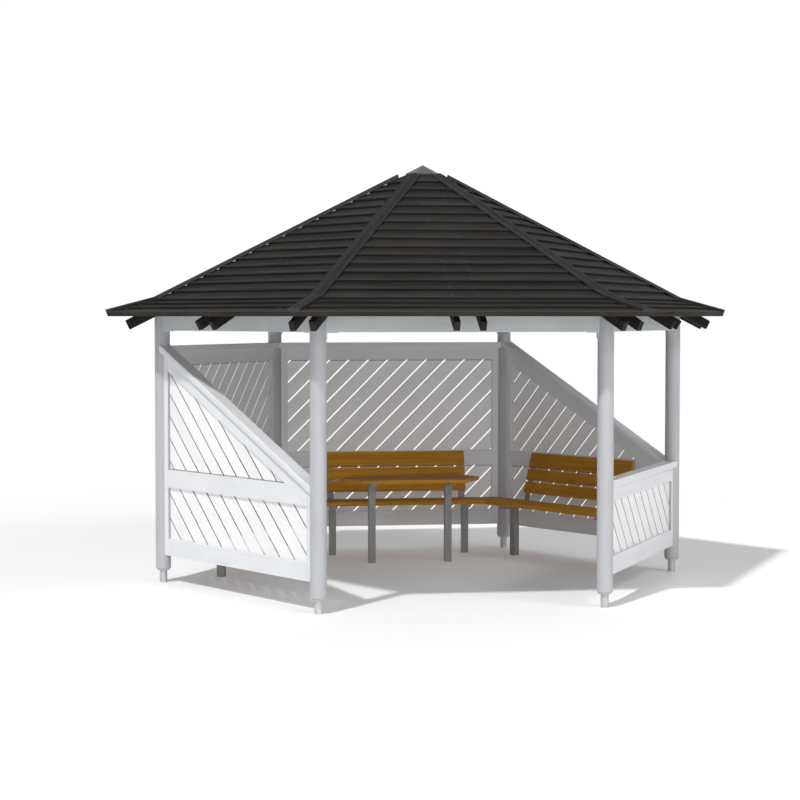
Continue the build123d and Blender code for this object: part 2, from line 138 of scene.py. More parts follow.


# %% [markdown]
# ## The run of the grain
# Each board is sawn along its trunk, so its grain runs along its length, and no two boards are
# quite the same tone. A texture map is laid on every board by itself: one direction of it runs
# along the board, in metres, and the other across. Each board also gets a tone, and the faces
# that were planed off its edges are marked, because that is where a finish wears first. All of
# it is worked out from the shape, so it holds for a level rail and for a sloping hip board. One
# more mark is kept: how far down its board a point lies, for boards that get painted shade,
# darker towards their upper edge under the board above.

# %% Find the boards of a piece
def boards_of(mesh):
    """For each vertex, the number of the board that it belongs to."""
    owner = list(range(len(mesh.vertices)))

    def root(vertex):
        while owner[vertex] != vertex:
            owner[vertex] = owner[owner[vertex]]
            vertex = owner[vertex]
        return vertex

    for first, second in (edge.vertices for edge in mesh.edges):
        owner[root(first)] = root(second)
    return np.array([root(vertex) for vertex in owner])


def middle_and_axes(points):
    """The middle of a board's points, and its directions along, across and through."""
    spans = np.linalg.eigh(np.cov((points - points.mean(axis=0)).T))[1].T[::-1]
    reach = points @ spans.T
    return (reach.max(axis=0) + reach.min(axis=0)) / 2 @ spans, spans


# %% Lay the grain
SQUARE_ON = 0.97  # cosine: a face less square to its board than this is a planed edge
END_ON = 0.8  # cosine: a face that looks along its board by more than this is its end
PATTERN = 9  # metres of pattern in which each board starts at its own place


def lay_grain(piece, seed):
    """Gives a piece its texture map, the tone of its boards and the marks of its edges."""
    mesh = piece.data
    chance = random.Random(seed)
    place = np.array([vertex.co for vertex in mesh.vertices])
    board = boards_of(mesh)
    axes, start, tone, ends = {}, {}, {}, {}
    for number in sorted(set(board.tolist())):
        points = place[board == number]
        middle, axes[number] = middle_and_axes(points)
        start[number] = middle - np.array([chance.uniform(0, PATTERN) for _ in range(3)])
        tone[number] = chance.uniform(-1, 1)
        ends[number] = (points[:, 2].max(), points[:, 2].min())
    while mesh.uv_layers:
        mesh.uv_layers.remove(mesh.uv_layers[0])
    grain_map = mesh.uv_layers.new(name="grain").data
    edge_mark = mesh.attributes.new("edge_mark", "FLOAT", "FACE")
    for face in mesh.polygons:
        number = board[face.vertices[0]]
        along, across, through = axes[number]
        normal = np.array(face.normal)
        lean = np.abs(axes[number] @ normal)
        edge_mark.data[face.index].value = float(lean.max() < SQUARE_ON or lean[0] > SQUARE_ON)
        if lean[0] > END_ON:
            first, second = across, through
        else:
            first, second = along, np.cross(normal, along)
        for corner in face.loop_indices:
            spot = place[mesh.loops[corner].vertex_index] - start[number]
            grain_map[corner].uv = (float(spot @ first), float(spot @ second))
    board_tone = mesh.attributes.new("board_tone", "FLOAT", "POINT")
    board_tone.data.foreach_set("value", [tone[number] for number in board.tolist()])
    fall = mesh.attributes.new("fall", "FLOAT", "POINT")
    for vertex, number in enumerate(board.tolist()):
        top, bottom = ends[number]
        fall.data[vertex].value = float((top - place[vertex][2]) / max(top - bottom, 1e-6))
    return len(tone)


# %% [markdown]
# ## Timber finishes
# The posts and beams have an opaque pale grey paint, and the side panels a white one that is a
# little greyer on their frames than on their boards. The roof, its hips, the rafters and the
# fascia have near-black and dark brown stains, and the seats and the table a warm orange-brown
# glaze. Paint hides the colour of the wood but not its fibres, stain lets the darker streaks
# through, and a glaze shows them all. One recipe makes them: streaks drawn out along the grain,
# finer fibres, slow clouds of weathering, the tone of the board, and a worn line along the
# edges, with the fibres also standing up a little as a bump. The lengths are those of real
# softwood. On the panels, painted shade darkens the gaps and inner corners. A roof board has
# painted shade too: it is darker towards its upper edge, under the board above, and paler
# towards its lower edge.

# %% Node helpers
def shader(name):
    """A new material, with its node tree and its main shader."""
    material = bpy.data.materials.new(name)
    material.use_nodes = True
    return material, material.node_tree, material.node_tree.nodes["Principled BSDF"]


def node(tree, kind, settings=(), **inputs):
    """A new node with its settings. Each input is a value or another node's socket, and goes
    by its name, or by its number as i0, i1 and so on where several have the same name."""
    made = tree.nodes.new("ShaderNode" + kind)
    for setting, value in dict(settings).items():
        setattr(made, setting, value)
    for key, value in inputs.items():
        name = key.replace("_", " ")
        socket = made.inputs[int(key[1:])] if key[1:].isdigit() else made.inputs[name]
        if isinstance(value, bpy.types.NodeSocket):
            tree.links.new(value, socket)
        else:
            socket.default_value = value
    return made


NOISE_ROUGHNESS = 0.62


def noise(tree, coordinates, stretch, detail):
    """Noise that is drawn out by a stretch, as a value from 0 to 1 around a half."""
    mapping = node(tree, "Mapping", Vector=coordinates, Scale=stretch)
    return node(
        tree, "TexNoise", Vector=mapping.outputs[0], Scale=1.0, Detail=detail,
        Roughness=NOISE_ROUGHNESS,
    ).outputs[0]


def spread(tree, value, low, high, new_low, new_high):
    """Stretches a range of a value over a new range, and holds it there."""
    return node(
        tree, "MapRange", {"clamp": True}, Value=value, From_Min=low, From_Max=high,
        To_Min=new_low, To_Max=new_high,
    ).outputs[0]


def maths(tree, operation, first, second):
    """A sum or a product of two values, or the like."""
    return node(tree, "Math", {"operation": operation}, i0=first, i1=second).outputs[0]


def blend_colours(tree, share, first, second):
    """Mixes two colours by a share."""
    return node(tree, "MixRGB", Fac=share, Color1=first, Color2=second).outputs[0]


def mark_of(tree, name):
    """The value of a mark that was laid on the mesh."""
    return node(tree, "Attribute", {"attribute_name": name}).outputs["Fac"]


# %% Timber recipe
STREAK, FIBRE, CLOUD = (1.1, 34), (7, 240), 2.2  # waves to a metre, along the grain and across
STREAK_SHARE, FIBRE_SHARE = 0.72, 0.28
NOISE_LOW, NOISE_HIGH = 0.36, 0.64  # noise mostly keeps to this range
FIBRE_HEIGHT = 0.0007  # metres


def grained(along, across, round_):
    """How a pattern is drawn out: upwards on a round post, or along a board by its map."""
    return (across, across, along) if round_ else (along, across, across)


def timber(
    name, pale, dark, worn, roughness, streaks, weather, tones, relief, gloss, round_=False,
    painted_shade_fall=0.0, gap=None,
):
    """A finish on timber: its two tones, its worn colour, the colour of its painted shade if it has
    one, and how strongly each effect shows.
    """
    material, tree, main = shader(name)
    coordinates = node(tree, "TexCoord").outputs["Object" if round_ else "UV"]
    wide = noise(tree, coordinates, grained(*STREAK, round_), 5)
    fine = noise(tree, coordinates, grained(*FIBRE, round_), 3)
    cloud = noise(tree, coordinates, (CLOUD, CLOUD, CLOUD), 4)
    wide = maths(tree, "MULTIPLY", wide, STREAK_SHARE)
    both = maths(tree, "ADD", wide, maths(tree, "MULTIPLY", fine, FIBRE_SHARE))
    streak = spread(tree, both, NOISE_LOW, NOISE_HIGH, 0.5 - streaks, 0.5 + streaks)
    colour = blend_colours(tree, streak, (*pale, 1), (*dark, 1))
    wear = spread(tree, fine, 0.42, 0.62, 0.25, 0.85)
    wear = maths(tree, "MULTIPLY", mark_of(tree, "edge_mark"), wear)
    colour = blend_colours(tree, wear, colour, (*worn, 1))
    # Painted shade: faces marked in the gaps and inner corners of a panel take the shade colour.
    if gap:
        colour = blend_colours(tree, mark_of(tree, "painted_shade_mark"), colour, (*gap, 1))
    tone = maths(tree, "MULTIPLY", mark_of(tree, "board_tone"), tones)
    light = maths(tree, "ADD", tone, 1.0)
    light = maths(tree, "ADD", light, spread(tree, cloud, 0.34, 0.66, -weather, weather))
    # Painted shade: a roof board is darker towards its upper edge, under the board above, and paler
    # towards its lower edge.
    if painted_shade_fall:
        fall = maths(tree, "MULTIPLY", cloud, 0.12)
        fall = maths(tree, "ADD", mark_of(tree, "fall"), fall)
        light = maths(tree, "ADD", light, spread(tree, fall, 0.32, 0.72, -painted_shade_fall, painted_shade_fall))
    colour = node(tree, "HueSaturation", Color=colour, Value=light).outputs[0]
    tree.links.new(colour, main.inputs["Base Color"])
    rough = spread(tree, both, NOISE_LOW, NOISE_HIGH, roughness - 0.07, roughness + 0.09)
    tree.links.new(rough, main.inputs["Roughness"])
    bump = node(tree, "Bump", Strength=relief, Distance=FIBRE_HEIGHT, Height=both)
    tree.links.new(bump.outputs[0], main.inputs["Normal"])
    main.inputs["Specular IOR Level"].default_value = gloss
    return material


# %% Paints
PAINTED_SHADE = (0.15, 0.145, 0.13)  # colour of the painted shade in the gaps and inner corners of the panels
post_paint = timber(
    "pale_grey_paint_on_posts", pale=(0.47, 0.475, 0.495), dark=(0.415, 0.42, 0.44),
    worn=(0.465, 0.465, 0.475), roughness=0.52, streaks=0.3, weather=0.035, tones=0.02,
    relief=0.25, gloss=0.3, round_=True,
)
beam_paint = timber(
    "pale_grey_paint_on_beams", pale=(0.55, 0.585, 0.59), dark=(0.49, 0.52, 0.525),
    worn=(0.58, 0.6, 0.6), roughness=0.55, streaks=0.3, weather=0.05, tones=0.02,
    relief=0.3, gloss=0.3,
)
slat_paint = timber(
    "white_paint_on_slats", pale=(0.87, 0.87, 0.87), dark=(0.815, 0.815, 0.82),
    worn=(0.88, 0.88, 0.88), roughness=0.5, streaks=0.3, weather=0.03, tones=0.025,
    relief=0.25, gloss=0.3, gap=PAINTED_SHADE,
)
frame_paint = timber(
    "white_paint_on_frames", pale=(0.745, 0.757, 0.775), dark=(0.685, 0.697, 0.715),
    worn=(0.84, 0.845, 0.85), roughness=0.5, streaks=0.3, weather=0.03, tones=0.02,
    relief=0.25, gloss=0.3, gap=PAINTED_SHADE,
)
print("paints:", post_paint.name, beam_paint.name, slat_paint.name, frame_paint.name)

# %% Stains and glaze
rafter_stain = timber(
    "dark_stain_on_rafters", pale=(0.026, 0.023, 0.02), dark=(0.014, 0.012, 0.011),
    worn=(0.034, 0.03, 0.026), roughness=0.66, streaks=0.45, weather=0.12, tones=0.12,
    relief=0.4, gloss=0.12,
)
roof_stain = timber(
    "weathered_stain_on_roof", pale=(0.031, 0.0297, 0.028), dark=(0.017, 0.0163, 0.0155),
    worn=(0.045, 0.043, 0.04), roughness=0.8, streaks=0.5, weather=0.12, tones=0.1,
    relief=0.6, gloss=0.03, painted_shade_fall=0.24,
)
hip_stain = timber(
    "weathered_stain_on_hip_boards", pale=(0.033, 0.031, 0.031), dark=(0.019, 0.018, 0.018),
    worn=(0.085, 0.082, 0.08), roughness=0.78, streaks=0.45, weather=0.12, tones=0.08,
    relief=0.5, gloss=0.03,
)
eave_stain = timber(
    "brown_stain_on_fascia", pale=(0.042, 0.038, 0.033), dark=(0.026, 0.023, 0.02),
    worn=(0.075, 0.066, 0.055), roughness=0.7, streaks=0.45, weather=0.1, tones=0.08,
    relief=0.4, gloss=0.03,
)
seat_glaze = timber(
    "orange_brown_glaze_on_seats", pale=(0.585, 0.285, 0.034), dark=(0.375, 0.157, 0.014),
    worn=(0.62, 0.34, 0.065), roughness=0.55, streaks=0.5, weather=0.08, tones=0.12,
    relief=0.35, gloss=0.08,
)
print("stains:", rafter_stain.name, roof_stain.name, hip_stain.name, eave_stain.name)
print("glaze:", seat_glaze.name)

# %% [markdown]
# ## Metal finishes
# The bench and table frames are square steel tube with a grey powder coat, which has a faint
# orange-peel texture. The round post feet and the angles under the beams are hot-dip galvanised,
# with its patches of crystal. The cap on the apex is dark coated sheet. All three are made of
# noise at the scale of the real texture, with roughness and bump to match.

# %% Metal recipe
SKIN, SKIN_HEIGHT = 420, 0.0003  # the fine uneven surface: waves to a metre, and metres
METAL_CLOUD = 3


def metal(name, colour, second, shine, roughness, patch, relief):
    """A metal finish: two tones in patches, how metallic it is, and a fine uneven surface."""
    material, tree, main = shader(name)
    coordinates = node(tree, "TexCoord").outputs["Object"]
    patches = noise(tree, coordinates, (patch, patch, patch), 3)
    skin = noise(tree, coordinates, (SKIN, SKIN, SKIN), 2)
    clouds = noise(tree, coordinates, (METAL_CLOUD, METAL_CLOUD, METAL_CLOUD), 4)
    share = spread(tree, patches, 0.38, 0.62, 0.0, 1.0)
    colour = blend_colours(tree, share, (*colour, 1), (*second, 1))
    light = spread(tree, clouds, 0.35, 0.65, 0.92, 1.08)
    colour = node(tree, "HueSaturation", Color=colour, Value=light).outputs[0]
    tree.links.new(colour, main.inputs["Base Color"])
    rough = spread(tree, clouds, 0.35, 0.65, roughness - 0.06, roughness + 0.08)
    tree.links.new(rough, main.inputs["Roughness"])
    bump = node(tree, "Bump", Strength=relief, Distance=SKIN_HEIGHT, Height=skin)
    tree.links.new(bump.outputs[0], main.inputs["Normal"])
    main.inputs["Metallic"].default_value = shine
    return material


# %% Metals
frame_coat = metal(
    "grey_powder_coat", (0.27, 0.27, 0.27), (0.24, 0.24, 0.243), 0.0, 0.42, 30, 0.3
)
galvanised = metal(
    "hot_dip_galvanised_steel", (0.52, 0.535, 0.54), (0.43, 0.445, 0.45), 0.4, 0.5, 70, 0.3
)
cap_coat = metal(
    "dark_coated_sheet", (0.055, 0.053, 0.061), (0.045, 0.043, 0.05), 0.0, 0.45, 12, 0.2
)
print("metals:", frame_coat.name, galvanised.name, cap_coat.name)

# %% [markdown]
# ## Standing in for a model piece
# Once a piece has its shape, it gets its grain and its finish, rides on the gazebo's one body,
# and takes the place of the model piece that it was made after. A piece of two materials has
# them before, and then no finish is handed on.

# %% Put a piece in place
made = []


def coat(piece, material):
    """Gives a whole piece one finish."""
    piece.data.materials.clear()
    piece.data.materials.append(material)


def put(piece, material, slot, *nodes):
    """Finishes a piece, unless it has its finish, and puts it in the place of model pieces."""
    boards = lay_grain(piece, seed=len(made) + 1)
    if material:
        coat(piece, material)
    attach(piece, "root")
    if nodes:
        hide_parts(*nodes)
    made.append(piece)
    print(piece.name, "-", boards, "parts,", len(piece.data.polygons), "faces")


# %% [markdown]
# ## The size of the roof
# The roof's main slope is laid with lapped boards up to the apex, and its last third of a metre
# lies flatter, on wedges: the bell-cast eave that throws rain clear of the walls. The sizes
# below say where the boards lie. The height of the apex is read from the model.

# %% Roof sizes
PITCH, EAVE_PITCH = math.radians(30.3), math.radians(17)
LAY = 0.016  # how far each board is lifted by the one below
BOARD = 0.014  # thickness of a roof board
LAP = 0.012  # how far a board reaches under the next one up
KNEE = 1.85665  # distance from the centre to where the roof bends
FLARE_BOARDS, MAIN_BOARDS = 3, 16
FLARE = 0.33099  # length of the flatter slope
STAGGER = 0.07  # the boards show this share more at the top of the slope
HIP = math.radians(30)  # between the middle of a face and its hip, in plan


def slope_ways(pitch):
    """The directions down a slope and square up from it, on the face that looks along X."""
    down = Vector((math.cos(pitch), 0, -math.sin(pitch)))
    return down, Vector((math.sin(pitch), 0, math.cos(pitch)))


apex = Vector((0, 0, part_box("roof_front")[1].z - LAY / math.cos(PITCH)))
main_length = KNEE / math.cos(PITCH)
knee = Vector((KNEE, 0, apex.z - KNEE * math.tan(PITCH)))
print("apex of the rafters", round(apex.z, 4), "knee", round(knee.z, 4))

# %% [markdown]
# ## Roof boards
# A lapped roof board lies with its upper edge on the rafters and its lower edge on the board
# below, so its lower end stands off and shows as a fine shadow. The boards could be one stepped
# surface, but then no board could have its own grain, tone or planed edge. So every board is a
# block of its own, laid at its slope, sawn along both hips and planed at its edges. The topmost
# one lies flat under the cap. One face is laid, and the other five are copies of it.

# %% One roof board
UNSAWN_BOARD = 4.0  # length of a roof board before it is sawn to the hips
MITRE = 0.001  # how far the boards of a face run past their hips


def lay_board(name, start, pitch, upper, lower, rise):
    """One board between two lengths down a slope, lifted at its lower end and sawn to the hips."""
    show = lower - upper
    tilt = pitch - math.atan(rise / show)
    down, up = slope_ways(pitch)
    edge = start + down * lower + up * (LAY + rise)
    lie, square = slope_ways(tilt)
    length = show + LAP
    middle = edge - lie * length / 2 - square * BOARD / 2
    board = block(name, (length, UNSAWN_BOARD, BOARD), middle, (0, tilt, 0))
    for hand in (-1, 1):
        saw(board, (0, hand * MITRE, 0), (-math.sin(HIP), hand * math.cos(HIP), 0))
    return board


def lower_end(number, count, length, stagger):
    """How far down a slope a board ends."""
    share = number / count
    return length * share * (1 + stagger * (1 - share))


# %% Lay the boards of one face
BOARD_EDGE = 0.0016  # planed off the edges
face_boards = []
for number in range(MAIN_BOARDS):
    ends = [lower_end(n, MAIN_BOARDS, main_length, STAGGER) for n in (number, number + 1)]
    face_boards.append(lay_board("roof_board", apex, PITCH, *ends, LAY if number else 0.0))
for number in range(FLARE_BOARDS):
    ends = [lower_end(n, FLARE_BOARDS, FLARE, 0) for n in (number, number + 1)]
    face_boards.append(lay_board("eave_board", knee, EAVE_PITCH, *ends, LAY))
print(len(face_boards), "boards in a face")
roof_face = join("roof_face", face_boards)
ease(roof_face, BOARD_EDGE, 1)

# %% Copy the face round the roof
def copy_round(piece, azimuth, name):
    """A copy with a mesh of its own, turned about the middle of the gazebo."""
    double = bpy.data.objects.new(name, piece.data.copy())
    bpy.context.scene.collection.objects.link(double)
    double.rotation_euler = (0, 0, math.radians(azimuth))
    only(double)
    bpy.ops.object.transform_apply(location=True, rotation=True, scale=True)
    return double


SIDES = {
    "right_back": 30, "back": 90, "left_back": 150, "left_front": 210, "front": 270,
    "right_front": 330,
}
for side, azimuth in SIDES.items():
    face_copy = copy_round(roof_face, azimuth, "roof_boards_" + side)
    put(face_copy, roof_stain, "roof_board", "roof_" + side)
bpy.data.objects.remove(roof_face)

# %% [markdown]
# ## Hip boards
# Along each hip the lapped boards of two faces meet at a mitre, and a pair of narrow boards
# covers it against rain. They lie on the lower edges of the roof boards, so a thin wedge of light
# shows under them at every board. Each is a block laid on the slope of its face, sawn along the
# ridge of the hip, to its width, to its upper end, and to the bend above the eave.

# %% One board of a hip
HIP_WING = 0.048  # level width of each board
HIP_TOP = 0.050  # square above the rafters
HIP_BASE, EAVE_BASE = 0.031, 0.023  # undersides; on the eave they are let down over the boards
HIP_START = 0.205  # from the centre to the upper ends
EAVE = 0.35099  # length of the flatter slope with its fascia
EXTRA, UNSAWN_HIP = 0.4, 3.0  # extra length and the whole width before the board is sawn


def hip_board(hand, start, pitch, length, base, cuts):
    """One of the two boards over a hip that points along X, for one of its two slopes."""
    turn = Matrix.Rotation(hand * HIP, 3, "Z")
    down, up = slope_ways(pitch)
    middle = turn @ (start + down * length / 2 + up * (base + HIP_TOP) / 2)
    size = (length + EXTRA, UNSAWN_HIP, HIP_TOP - base)
    board = block("hip_board", size, middle, (0, pitch, hand * HIP))
    saw(board, (0, 0, 0), (0, -hand, 0))
    saw(board, (0, hand * HIP_WING, 0), (0, hand, 0))
    for point, normal in cuts:
        saw(board, turn @ Vector(point), turn @ Vector(normal))
    return board


# %% Lay the boards of six hips
HIP_EDGE = 0.002  # planed off the edges
past_knee, _ = slope_ways((PITCH + EAVE_PITCH) / 2)
eave_down, _ = slope_ways(EAVE_PITCH)
hip_boards = []
for hand in (-1, 1):
    main = hip_board(hand, apex, PITCH, main_length, HIP_BASE, [(knee, past_knee)])
    saw(main, (HIP_START, 0, 0), (-1, 0, 0))
    eave_cuts = [(knee, -past_knee), (knee + eave_down * EAVE, eave_down)]
    hip_boards += [main, hip_board(hand, knee, EAVE_PITCH, EAVE, EAVE_BASE, eave_cuts)]
hip_pair = join("hip_pair", hip_boards)
ease(hip_pair, HIP_EDGE)
all_hips = join("hip_boards", [copy_round(hip_pair, 60 * n, "hip_boards") for n in range(6)])
put(all_hips, hip_stain, "roof_board", "hip_covers")
bpy.data.objects.remove(hip_pair)

# %% [markdown]
# ## Timber with planed edges
# The beams, rafters, fascia, rails, seats and table have the right shape in the model, but its
# edges are perfectly sharp, and no planed timber is: a sharp edge splinters and sheds its
# finish, so a joiner takes it off. The square steel tube of the frames has rounded corners too,
# from the rolling mill. A copy of each piece is merged into whole faces and its edges are
# rounded by a bevel, which catches the light along every arris.

# %% Copy a model piece
MERGE = 0.00005  # corners nearer than this are one
LEVEL = math.radians(0.6)  # triangles that meet at less than this are one face


def copy_of_node(node, name):
    """A copy of a model piece, its triangles merged into whole faces."""
    piece = bpy.data.objects.new(name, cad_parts[node].data.copy())
    bpy.context.scene.collection.objects.link(piece)
    only(piece)
    bpy.ops.mesh.customdata_custom_splitnormals_clear()
    bpy.ops.object.mode_set(mode="EDIT")
    bpy.ops.mesh.select_all(action="SELECT")
    bpy.ops.mesh.remove_doubles(threshold=MERGE)
    bpy.ops.mesh.dissolve_limited(angle_limit=LEVEL)
    bpy.ops.object.mode_set(mode="OBJECT")
    return piece


# %% Round the edges
# The azimuth of each bench, and how far it stands to the side of its panel's middle.
BENCHES = {"right": (30, -0.017), "back": (90, -0.033), "left": (150, 0.0)}
BEAMS = ["ring_beam_" + side for side in SIDES]
RAFTERS = ["hip_rafters", "mid_rafters", "eave_sprockets", "crown_ring"]
SEATS, BACKRESTS, BENCH_FRAMES = (
    [kind + bench for bench in BENCHES] for kind in ("bench_seat_", "bench_back_", "bench_frames_")
)
# Model pieces, the width of their rounding, their finish and its slot.
PLANED = (
    (BEAMS, 0.004, beam_paint, "beam_paint"),
    (RAFTERS, 0.003, rafter_stain, "rafter_stain"),
    (["eave_fascia"], 0.003, eave_stain, "eave_board"),
    (["cap_rails"], 0.005, frame_paint, "panel_paint"),
    (SEATS, 0.005, seat_glaze, "seat_wood"),
    (BACKRESTS, 0.004, seat_glaze, "seat_wood"),
    (["table_top"], 0.005, seat_glaze, "seat_wood"),
    (BENCH_FRAMES, 0.004, frame_coat, "frame_steel"),
    (["table_frames"], 0.004, frame_coat, "frame_steel"),
)
for nodes, width, finish, slot in PLANED:
    for name in nodes:
        piece = copy_of_node(name, "eased_" + name)
        ease(piece, width)
        put(piece, finish, slot, name)

# %% [markdown]
# ## Side panels
# Each closed side is a framed panel: two stiles beside the posts, a bottom rail, a top rail
# that may slope and, in all but the low one, a middle rail, with thin boards set into it on the
# diagonal. Between the boards is a narrow gap, through which the light falls in dashes. The
# parts are sawn from blocks: the boards are one block repeated up the field and then cut to it,
# as a joiner lays them on and runs the saw round. Their edges are planed, so that each joint
# shows as a line.
# The white paint has painted shade where shade falls: between the boards, at their feet outside,
# at their heads inside, and on the inner faces of the stiles. A line is cut across the boards
# there, and the frame along its middle, so that those faces are parted from the rest, and they
# are marked for the painted shade.

# %% Panel sizes
WALL = 1.81865  # from the centre to the middle plane of a panel
HALF = 0.99  # half the clear opening between two posts
SCRIBE = 0.9944  # where a stile meets the round post at its faces
FIELD = 0.935  # half the width between the stiles
FRAME = 0.045  # thickness of the stiles and rails
SILL, RAIL_BASE = 0.36, 0.223  # top and underside of the bottom rail
MID_TOP, MID_BASE = 0.908, 0.766  # top and underside of the middle rail
CAP, TOP_RAIL = 0.05, 0.107  # heights of the cap rail and the top rail, square to their slope
LOW, HIGH = 0.926, 1.887  # tops of the cap rails
GAP, THIN = 0.012, 0.006  # between the diagonal boards, and their thickness
NARROW, WIDE = 0.113, 0.1245  # widths of the diagonal boards
SPARE = 0.1  # how much higher the stiles are before they are sawn
UNSAWN_SLAT = 6.0  # length of a diagonal board before it is sawn
UNSAWN_RAIL = 0.5  # height of the middle of a top rail before it is sawn
FRAME_EDGE, SLAT_EDGE = 0.0025, 0.001  # planed off the edges


class Slope:
    """The line of a cap rail, from its height at the clockwise post to the other post."""

    def __init__(self, low, high):
        self.rise = (high - low) / (2 * HALF)
        self.middle = (low + high) / 2
        self.square = math.hypot(1, self.rise)

    def saw_above(self, piece, depth):
        """Cuts off what lies higher than a depth square below the line."""
        saw(piece, (WALL, 0, self.middle - depth * self.square), (0, -self.rise, 1))

    def saw_below(self, piece, depth):
        """Cuts off what lies lower than a depth square below the line."""
        saw(piece, (WALL, 0, self.middle - depth * self.square), (0, self.rise, -1))


# %% Frame of a panel
def panel_frame(slope, low_panel):
    """Stiles and rails of a panel, sawn to the line of its cap rail."""
    height = slope.middle + abs(slope.rise) + SPARE
    parts = []
    for hand in (-1, 1):
        middle = (WALL, hand * (FIELD + SCRIBE) / 2, RAIL_BASE + height / 2)
        stile = block("stile", (FRAME, SCRIBE - FIELD, height), middle)
        slope.saw_above(stile, CAP)
        parts.append(stile)
    width = 2 * FIELD
    middle = (WALL, 0, (SILL + RAIL_BASE) / 2)
    parts.append(block("bottom_rail", (FRAME, width, SILL - RAIL_BASE), middle))
    top_rail = block("top_rail", (FRAME, width, 2 * height), (WALL, 0, UNSAWN_RAIL))
    slope.saw_above(top_rail, CAP)
    if low_panel:
        saw(top_rail, (WALL, 0, MID_BASE), (0, 0, -1))
    else:
        slope.saw_below(top_rail, CAP + TOP_RAIL)
        middle = (WALL, 0, (MID_TOP + MID_BASE) / 2)
        mid_rail = block("mid_rail", (FRAME, width, MID_TOP - MID_BASE), middle)
        slope.saw_above(mid_rail, CAP + TOP_RAIL)
        parts.append(mid_rail)
    parts.append(top_rail)
    return parts


# %% Boards of a field
def field_boards(slope, foot, head, width, first_gap):
    """Diagonal boards of a field, falling anticlockwise and sawn to the opening."""
    pitch = (width + GAP) * math.sqrt(2)
    lowest = SILL + first_gap - pitch / 2
    size, lean = (THIN, UNSAWN_SLAT, width), (math.radians(-45), 0, 0)
    boards = block("slats", size, (WALL, -FIELD, lowest), lean)
    count = math.ceil((head - SILL + 2 * HALF) / pitch) + 2
    modify(
        boards, "ARRAY", count=count, use_relative_offset=False,
        use_constant_offset=True, constant_offset_displace=(0, 0, pitch),
    )
    for hand in (-1, 1):
        saw(boards, (WALL, hand * FIELD, 0), (0, hand, 0))
    saw(boards, (WALL, 0, foot), (0, 0, -1))
    saw(boards, (WALL, 0, head), (0, 0, 1))
    slope.saw_above(boards, CAP + TOP_RAIL)
    return boards


# %% Mark the painted shade
SHADE_LINE = 0.009  # height of the painted shade line at the ends of the boards
FIELD_TOP = HIGH - CAP - TOP_RAIL
GAP_SHADE, END_SHADE, OUTER_SHADE, INNER_SHADE = 1.0, 0.75, 0.6, 0.2  # how dark the painted shade is at each place
NEAR = 0.003  # a stile's inner faces lie within this of the edge of the field


def mark_painted_shade(piece):
    """Marks the faces that get painted shade: between the boards, at the ends of the boards and on
    the stiles' inner faces.
    """
    mark = piece.data.attributes.new("painted_shade_mark", "FLOAT", "FACE")
    for face in piece.data.polygons:
        out, along, height = face.center
        slat = abs(out - WALL) < THIN
        between = slat and abs(face.normal.x) < 0.5
        foot = slat and face.normal.x > 0.5 and MID_TOP < height < MID_TOP + SHADE_LINE
        head = slat and face.normal.x < -0.5 and (
            MID_BASE - SHADE_LINE < height < MID_BASE or height > FIELD_TOP - SHADE_LINE
        )
        inside = not slat and abs(face.normal.y) > 0.9 and abs(along) < FIELD + NEAR
        stile = (OUTER_SHADE if out > WALL else INNER_SHADE) * inside
        shade_depth = GAP_SHADE if between else END_SHADE if foot or head else stile
        mark.data[face.index].value = shade_depth


# %% Make the five panels
# Cap heights at the two ends, then for each field its board width and its lowest gap.
PANELS = {
    "right_back": (LOW, HIGH, (NARROW, 0.005), (NARROW, 0.005)),
    "back": (HIGH, HIGH, (NARROW, 0.032), (NARROW, 0.032)),
    "left_back": (HIGH, HIGH, (NARROW, 0.030), (NARROW, 0.030)),
    "left_front": (HIGH, LOW, (WIDE, 0.158), (NARROW, 0.084)),
    "right_front": (LOW, LOW, (WIDE, 0.147)),
}
for side, (low, high, *fields) in PANELS.items():
    slope = Slope(low, high)
    frame_parts = join("panel_frame", panel_frame(slope, low_panel=len(fields) == 1))
    ease(frame_parts, FRAME_EDGE)
    spans = ((SILL, MID_BASE), (MID_TOP, HIGH))
    slats = [field_boards(slope, *span, *field) for span, field in zip(spans, fields)]
    slats = join("panel_slats", slats)
    ease(slats, SLAT_EDGE, 1)
    # Lines across the boards part off the faces that get painted shade at their ends.
    for height in (MID_BASE - SHADE_LINE, MID_TOP + SHADE_LINE, FIELD_TOP - SHADE_LINE):
        cut(slats, (0, 0, height), (0, 0, 1))
    cut(frame_parts, (WALL, 0, 0), (1, 0, 0))
    coat(frame_parts, frame_paint)
    coat(slats, slat_paint)
    whole = join("panel_parts", [frame_parts, slats])
    mark_painted_shade(whole)
    panel = copy_round(whole, SIDES[side], "panel_boards_" + side)
    put(panel, None, "panel_paint", "panel_" + side)
    bpy.data.objects.remove(whole)

# %% [markdown]
# ## Pieces that stay as modelled
# The round posts, their steel feet, the angles under the beams and the cap on the apex already
# have their shape, so they only get their finish.

# %% Finish the pieces that stay
CORNERS = ("right", "back_right", "back_left", "left", "front_left", "front_right")
kept = {"post_" + corner: post_paint for corner in CORNERS}
kept.update(post_feet=galvanised, beam_brackets=galvanised, apex_cap=cap_coat)
for name, finish in kept.items():
    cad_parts[name].data.materials[0] = finish
print(len(kept), "model pieces stay")

# %% [markdown]
# ## Screws and nails
# Boards are held down by screws with flat round heads in the grey of the frames, two to a board
# at each bearer, and the roof boards by dark nails over the rafters. A head is a short cylinder
# with a raised top that is sunk in the middle. It is modelled once and copied, with few faces,
# because there are hundreds.

# %% One screw head
RING = 0.3  # width of each ring on top of a head, as a share of its radius
RAISE, SINK = 0.3, 0.5  # how far the top is raised and then sunk, as shares of its height


